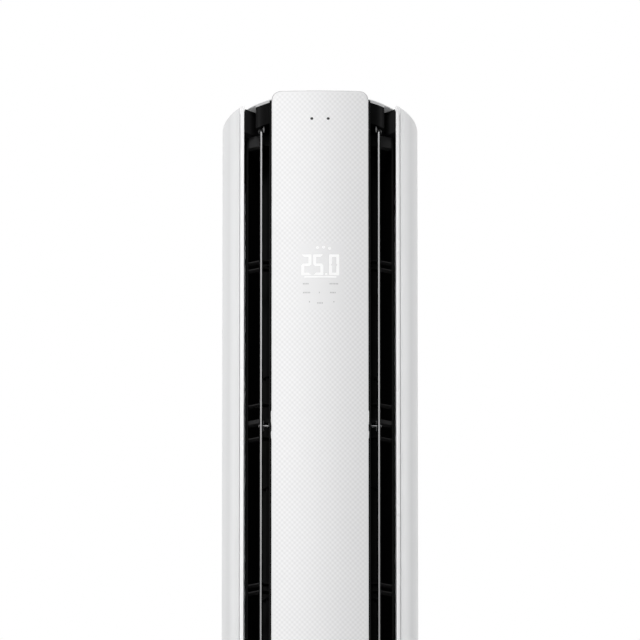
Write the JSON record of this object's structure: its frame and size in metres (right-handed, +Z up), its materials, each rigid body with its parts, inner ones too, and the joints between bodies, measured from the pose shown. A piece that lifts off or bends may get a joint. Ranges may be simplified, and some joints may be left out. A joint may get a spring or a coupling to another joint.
{
  "type": "floor standing air conditioner",
  "caption": "Round column floor standing air conditioner with a raised patterned front panel and a tall black outlet with a swinging vane on each side.",
  "frame": {"origin": "on the floor at the column's axis", "axes": "+Z up, the front panel faces -Y, +X to the right seen from the front"},
  "size_m": [0.39, 0.406, 1.78],
  "materials": {
    "shell_white": "satin white moulding",
    "trim_white": "bright white strip",
    "panel_white": "gloss white with a fine diamond pattern",
    "black_gloss": "gloss black",
    "black_matte": "satin black moulding",
    "cover_grey": "satin light grey",
    "base_grey": "fine grained dark grey",
    "rear_white": "fine grained white",
    "filter_white": "satin white",
    "mesh_grey": "fine woven mesh",
    "pad_rubber": "matt",
    "zinc_steel": "galvanised",
    "pan_paint": "powder coat",
    "bright_strip": "bright",
    "bracket_steel": "bright zinc",
    "screw_zinc": "bright zinc",
    "shaft_steel": "ground",
    "bearing_black": "moulded",
    "acetal": "self coloured",
    "motor_paint": "painted",
    "fin_aluminium": "fine fins",
    "copper": "drawn copper tube",
    "drain_grey": "foamed moulding",
    "spout_white": "flexible hose end",
    "circuit_green": "lacquered board",
    "light_box": "diffusing white",
    "lens_black": "clear over black",
    "terminal_cream": "moulded"
  },
  "bodies": {
    "root": {"floor_pads": "pad_rubber", "base_plinth": "base_grey", "base_pan": "pan_paint", "shell_right": "shell_white", "shell_left": "shell_white", "shell_trim_right": "trim_white", "shell_trim_left": "trim_white", "lower_front_right": "shell_white", "lower_front_left": "shell_white", "side_plate_right": "zinc_steel", "side_plate_left": "zinc_steel", "top_crown": "black_matte", "top_cover": "cover_grey", "lower_bezel": "black_matte", "front_column": "black_gloss", "front_panel": "panel_white", "sensor_lenses": "lens_black", "display_board": "circuit_green", "display_light_box": "light_box", "air_guide_right": "black_matte", "air_guide_left": "black_matte", "vane_bracket_right": "bracket_steel", "vane_bracket_left": "bracket_steel", "vane_bushes": "acetal", "vane_motor_right": "motor_paint", "vane_motor_left": "motor_paint", "duct_right": "black_matte", "duct_left": "black_matte", "fan_bearings": "bearing_black", "fan_motor_right": "motor_paint", "fan_motor_left": "motor_paint", "evaporator_core": "fin_aluminium", "evaporator_plates": "zinc_steel", "evaporator_bends": "copper", "drain_pan": "drain_grey", "gas_pipe": "copper", "liquid_pipe": "copper", "drain_spout": "spout_white", "rear_frame": "rear_white", "rear_lower_cover": "rear_white", "pipe_collar": "base_grey", "cord_gland": "base_grey", "anti_tip_bracket": "zinc_steel", "control_box": "zinc_steel", "control_board": "circuit_green", "terminal_block": "terminal_cream", "case_screws": "screw_zinc"},
    "left_vane": {"vane_left": "black_gloss", "vane_strip_left": "bright_strip"},
    "right_vane": {"vane_right": "black_gloss", "vane_strip_right": "bright_strip"},
    "left_fan": {"fan_left": "black_matte", "fan_shaft_left": "shaft_steel"},
    "right_fan": {"fan_right": "black_matte", "fan_shaft_right": "shaft_steel"},
    "left_filter": {"filter_frame_left": "filter_white", "filter_mesh_left": "mesh_grey"},
    "right_filter": {"filter_frame_right": "filter_white", "filter_mesh_right": "mesh_grey"}
  },
  "joints": [
    {"name": "left_vane_swing", "type": "hinge", "parent": "root", "child": "left_vane", "pos_m": [-0.1172, -0.13243, 1.0945], "axis": [0, 0, 1], "range_deg": [-25, 35]},
    {"name": "right_vane_swing", "type": "hinge", "parent": "root", "child": "right_vane", "pos_m": [0.1172, -0.13243, 1.0945], "axis": [0, 0, -1], "range_deg": [-25, 35]},
    {"name": "left_fan_spin", "type": "hinge", "parent": "root", "child": "left_fan", "pos_m": [-0.07, 0.005, 1.0955], "axis": [0, 0, 1], "continuous": true},
    {"name": "right_fan_spin", "type": "hinge", "parent": "root", "child": "right_fan", "pos_m": [0.07, 0.005, 1.0955], "axis": [0, 0, 1], "continuous": true},
    {"name": "left_filter_pull", "type": "slide", "parent": "root", "child": "left_filter", "axis": [0, 1, 0], "range_m": [0, 0.06]},
    {"name": "right_filter_pull", "type": "slide", "parent": "root", "child": "right_filter", "axis": [0, 1, 0], "range_m": [0, 0.06]}
  ]
}
